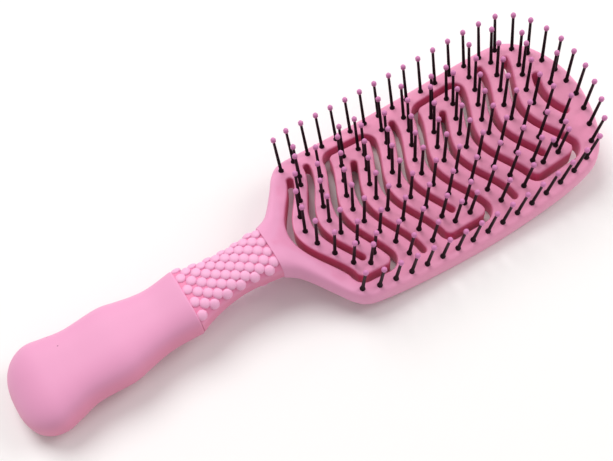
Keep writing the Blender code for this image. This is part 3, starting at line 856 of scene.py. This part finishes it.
def head_half(name, plan, height, side):
    # side is 1 for the face and -1 for the back; height is measured out from the parting
    rings, edges, extra, skin, parting = plan

    def outside(point, share):
        rise = height(point.x, point.y) * share + HAIRLINE / 2
        return max(parting_height(point.x) + side * rise, 0.0)

    shape = bmesh.new()
    painted_shade = shape.verts.layers.float.new("painted_shade")
    rows = []
    for ring, share in rings:
        rows.append([shape.verts.new((p.x, p.y, outside(p, share))) for p in ring])
    for row, following in zip(rows, rows[1:]):
        for i in range(len(row) - 1):
            shape.faces.new((row[i], row[i + 1], following[i + 1], following[i]))
    shape.faces.new([row[0] for row in rows] + [row[-1] for row in reversed(rows)])

    levels = []
    for loops, drop in edges:
        level = [[shape.verts.new((p.x, p.y, outside(p, 1.0) - side * drop)) for p in loop]
                 for loop in loops]
        # Painted shade: from the face's shade it deepens to rose down each slot's rounded edge
        for vert in [vert for loop in level for vert in loop]:
            vert[painted_shade] = FACE_SHADE_DEPTH + (1.0 - FACE_SHADE_DEPTH) * drop / SLOT_EDGE
        levels.append(level)
    floor = [[shape.verts.new((p.x, p.y, parting_height(p.x) + side * HAIRLINE / 2))
              for p in loop] for loop in edges[-1][0]]
    # Painted shade: full rose at the foot of the slots' walls
    for vert in [vert for loop in floor for vert in loop]:
        vert[painted_shade] = 1.0
    for upper, lower in zip(levels, levels[1:] + [floor]):
        for loop, following in zip(upper, lower):
            for i in range(len(loop)):
                shape.faces.new((loop[i - 1], loop[i], following[i], following[i - 1]))

    inner = [shape.verts.new((p.x, p.y, outside(p, 1.0))) for p in extra]
    # Painted shade of the pins over the face between the slots
    for vert in inner:
        vert[painted_shade] = FACE_SHADE_DEPTH
    skin_verts = rows[-1] + [vert for loop in levels[0] for vert in loop] + inner
    parting_verts = rows[0] + [vert for loop in floor for vert in loop]
    for triangle in skin:
        shape.faces.new([skin_verts[i] for i in triangle])
    for triangle in parting:
        shape.faces.new([parting_verts[i] for i in triangle])
    loose = [vert for vert in shape.verts if not vert.link_faces]
    bmesh.ops.delete(shape, geom=loose, context="VERTS")
    return finish_mesh(name, shape, SKIN_SHARP)


def make_head():
    plan = make_plan()
    pink = soft_touch("head_soft_touch", HANDLE_PINK, HEAD_CLOUDS, False, True)
    face = head_half("head_face", plan, face_rise, 1)
    back = head_half("head_back", plan, back_drop, -1)
    add_piece("head_face", face, [pink], "soft_pink", "front_shell")
    add_piece("head_back", back, [pink], "frame_pink", "frame")


make_head()


# Pins: moulded black nylon, with a domed collar and a lilac ball tip, in rows along the ribs
# between the slots and beside the rim. The pins of a row stand on one strip behind the face
# and come up through its holes, and they are one piece here.
# Rows of pins run along the head at a pitch across it. The pin at a rib's end sits an inset
# inside SLOT_REACH and is pulled along the head. The first and last ribs have their own.
LAST_ROW = 4
ROW_PITCH = 0.0064
ROW_SHIFT = 0.0003
END_INSET = 0.0047
END_PULL = 0.0018
FIRST_END_INSET = 0.0059
FIRST_END_PULL = 0.0045
FIRST_TOP_INSET = 0.0044
LAST_END_INSET = 0.0061
LAST_TOP_OVER_SLOT = 0.0080
LAST_TOP_PULL = 0.0006
LAST_PIN_DISTANCE = 0.0043

# Pins beside the rim, RIM_TIP_PINS of them on each side of the one at the tip
RIM_PITCH = 0.0067
RIM_INSET = 0.0035
RIM_NECK_DISTANCE = 0.0200
RIM_TIP_PINS = 4

# One pin. The collar's steps are shares of its radius and of its height.
PIN_SIDES = 8
PIN_LENGTH = 0.0192
PIN_ROOT = 0.0004
PIN_SHARP = 50
COLLAR_RADIUS = 0.00112
COLLAR_HEIGHT = 0.0009
COLLAR_SHARES = ((1.0, 0.3), (0.85, 0.7))
SHAFT_RADIUS = 0.00068
SHAFT_TIP_RADIUS = 0.00055
BALL_RADIUS = 0.0011
BALL_HALF_HEIGHT = 0.0013
BALL_STEPS = 4

# Satin nylon of the shafts and of the balls
BLACK = (0.014, 0.005, 0.008)
BLACK_ROUGHNESS = 0.55
BLACK_GRAIN = 900.0
LILAC = (0.74, 0.27, 0.54)
LILAC_ROUGHNESS = 0.42
LILAC_GRAIN = 700.0
SATIN_SPECULAR = 0.12
SATIN_SHADE = 0.75
SATIN_STRENGTH = 0.1
SATIN_HEIGHT = 0.00005


def rib_x(rib, y):
    return (slot_x(rib, y) + slot_x(rib + 1, y)) / 2


def rib_pins(rib):
    # Each pair of ribs is one tongue, free at the end where the winding slot turns
    free_side = -1 if rib % 4 < 2 else 1
    pull = END_PULL if rib % 2 == 0 else -END_PULL
    inset = LAST_END_INSET if rib >= SLOT_COUNT - 4 else END_INSET
    end = free_side * (SLOT_REACH - inset)
    rows = [row * ROW_PITCH + ROW_SHIFT for row in range(1 - LAST_ROW, LAST_ROW)]
    rows.append(-free_side * LAST_ROW * ROW_PITCH + ROW_SHIFT)
    return [(rib_x(rib, y), y) for y in rows] + [(rib_x(rib, end) + pull, end)]


def first_rib_pins():
    # The first two ribs lie where the head narrows, and hold one pin less
    rows = [row * ROW_PITCH + ROW_SHIFT for row in range(1 - LAST_ROW, LAST_ROW)]
    top = SLOT_REACH - FIRST_TOP_INSET
    low = FIRST_END_INSET - SLOT_REACH
    first = [(rib_x(0, y), y) for y in rows + [top]]
    second = [(rib_x(1, low) - FIRST_END_PULL, low)] + [(rib_x(1, y), y) for y in rows]
    return first, second


def last_rib_pins():
    rib = SLOT_COUNT - 2
    rows = [row * ROW_PITCH + ROW_SHIFT for row in range(2 - LAST_ROW, LAST_ROW - 1)]
    top = SLOT_REACH - LAST_SLOT_INSET + LAST_TOP_OVER_SLOT
    last = [(rib_x(rib, y), y) for y in rows] + [(rib_x(rib, top) - LAST_TOP_PULL, top)]
    single = ROW_PITCH / 2
    return last, [(slot_x(rib + 1, single) + LAST_PIN_DISTANCE, single)]


def rim_pins():
    # Walk the rim's inset line from the tip, and set a pin at each pitch
    outline = rim_rings()[0][0]
    line = [outline[i] + normal_at(outline, i) * RIM_INSET for i in range(len(outline))]
    line = line[len(line) // 2:]
    line = [place for place in line if place.x > HEAD_START + RIM_NECK_DISTANCE]
    places = [(line[0].x, 0.0)]
    passed = 0.0
    for here, there in zip(line, line[1:]):
        run = (there - here).length
        while passed + run >= RIM_PITCH * len(places):
            spot = here.lerp(there, (RIM_PITCH * len(places) - passed) / run)
            places.append((spot.x, spot.y))
        passed += run
    return places


def pin_layout():
    first, second = first_rib_pins()
    last, single = last_rib_pins()
    middle = [rib_pins(rib) for rib in range(2, SLOT_COUNT - 2)]
    rows = [first, second] + middle + [last, single]
    layout = [(f"pin_strip_{rib:02d}", places) for rib, places in enumerate(rows)]
    rim = rim_pins()
    side = rim[RIM_TIP_PINS + 1:]
    tip = rim[:RIM_TIP_PINS + 1]
    layout.append(("rim_strip_far", side))
    layout.append(("rim_strip_near", [(x, -y) for x, y in side]))
    layout.append(("rim_strip_tip", [(x, -y) for x, y in tip[1:]] + tip))
    return layout


def pin_shape():
    # Rings of radius and height turned about Z; the faces of the ball are its tip
    profile = [(COLLAR_RADIUS, -PIN_ROOT)]
    profile += [(COLLAR_RADIUS * wide, COLLAR_HEIGHT * high) for wide, high in COLLAR_SHARES]
    profile.append((SHAFT_RADIUS, COLLAR_HEIGHT))
    ball_start = math.asin(SHAFT_TIP_RADIUS / BALL_RADIUS)
    centre = PIN_LENGTH + BALL_RADIUS - BALL_HALF_HEIGHT
    shaft_rings = len(profile)
    for step in range(BALL_STEPS):
        angle = math.pi - ball_start - (math.pi - ball_start) * step / BALL_STEPS
        height = centre + BALL_HALF_HEIGHT * math.cos(angle)
        profile.append((BALL_RADIUS * math.sin(angle), height))
    shape = bmesh.new()
    tip = shape.faces.layers.bool.new("tip")
    rows = []
    for radius, height in profile:
        row = []
        for i in range(PIN_SIDES):
            angle = 2 * math.pi * i / PIN_SIDES
            place = (radius * math.cos(angle), radius * math.sin(angle), height)
            row.append(shape.verts.new(place))
        rows.append(row)
    top = shape.verts.new((0.0, 0.0, PIN_LENGTH + BALL_RADIUS))
    shape.faces.new(rows[0])
    for level, (row, following) in enumerate(zip(rows, rows[1:])):
        for i in range(PIN_SIDES):
            face = shape.faces.new((row[i - 1], row[i], following[i], following[i - 1]))
            face[tip] = level >= shaft_rings
    for i in range(PIN_SIDES):
        face = shape.faces.new((rows[-1][i - 1], rows[-1][i], top))
        face[tip] = True
    pin = bpy.data.objects.new("pin", finish_mesh("pin", shape, PIN_SHARP))
    bpy.context.scene.collection.objects.link(pin)
    return pin


def satin(name, colour, roughness, scale):
    # Moulded nylon: one colour with a slight change from place to place, and a fine grain
    surface = bpy.data.materials.new(name)
    surface.use_nodes = True
    nodes = surface.node_tree.nodes
    links = surface.node_tree.links
    shader = nodes["Principled BSDF"]
    shader.inputs["Roughness"].default_value = roughness
    shader.inputs["Specular IOR Level"].default_value = SATIN_SPECULAR
    place = nodes.new("ShaderNodeTexCoord")
    noise = nodes.new("ShaderNodeTexNoise")
    noise.inputs["Scale"].default_value = scale
    links.new(place.outputs["Object"], noise.inputs["Vector"])
    mix = nodes.new("ShaderNodeMix")
    mix.data_type = "RGBA"
    mix.inputs["A"].default_value = (*colour, 1.0)
    dark = [SATIN_SHADE * value for value in colour]
    mix.inputs["B"].default_value = (*dark, 1.0)
    links.new(noise.outputs["Fac"], mix.inputs["Factor"])
    links.new(mix.outputs["Result"], shader.inputs["Base Color"])
    bump = nodes.new("ShaderNodeBump")
    bump.inputs["Strength"].default_value = SATIN_STRENGTH
    bump.inputs["Distance"].default_value = SATIN_HEIGHT
    links.new(noise.outputs["Fac"], bump.inputs["Height"])
    links.new(bump.outputs["Normal"], shader.inputs["Normal"])
    return surface


def make_pins():
    nylon = satin("black_nylon_satin", BLACK, BLACK_ROUGHNESS, BLACK_GRAIN)
    lilac = satin("lilac_ball", LILAC, LILAC_ROUGHNESS, LILAC_GRAIN)
    pin = pin_shape()
    for node, layout in pin_layout():
        places = []
        for x, y in layout:
            lean = math.atan(y / FAN_RADIUS)
            foot = Vector((x, y, parting_height(x) + face_rise(x, y)))
            places.append((foot, Vector((0.0, math.sin(lean), math.cos(lean)))))
        mesh = copies_mesh(f"{node}_pins", places, pin, (1.0, 1.0, 1.0), nylon, lilac)
        add_piece(f"{node}_pins", mesh, [], "black_nylon", node)
    bpy.data.objects.remove(pin, do_unlink=True)


make_pins()
